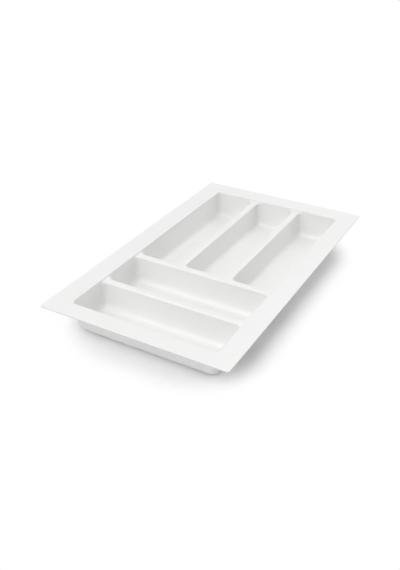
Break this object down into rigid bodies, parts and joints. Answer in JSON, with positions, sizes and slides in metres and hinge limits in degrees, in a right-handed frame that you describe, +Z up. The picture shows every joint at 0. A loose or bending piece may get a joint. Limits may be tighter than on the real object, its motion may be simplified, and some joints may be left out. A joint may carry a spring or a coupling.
{
  "type": "cutlery tray",
  "caption": "White plastic cutlery tray for a kitchen drawer, with lengthwise and crosswise wells, rounded ridges between them and a flat flange that is trimmed to fit.",
  "frame": {"origin": "on the plane of the undersides of the wells, below the middle of the flange's outline", "axes": "+X across the tray's width to the right, +Y along its length from the crosswise wells to the lengthwise ones, +Z up"},
  "size_m": [0.29, 0.49, 0.048],
  "materials": {
    "tray_sheet": "satin"
  },
  "bodies": {
    "root": {"front_flange": "tray_sheet", "rear_flange": "tray_sheet", "left_flange": "tray_sheet", "right_flange": "tray_sheet", "rim_collar": "tray_sheet", "front_divider": "tray_sheet", "cross_divider": "tray_sheet", "left_divider": "tray_sheet", "right_divider": "tray_sheet", "front_well": "tray_sheet", "middle_well": "tray_sheet", "rear_left_well": "tray_sheet", "rear_centre_well": "tray_sheet", "rear_right_well": "tray_sheet"}
  },
  "joints": []
}
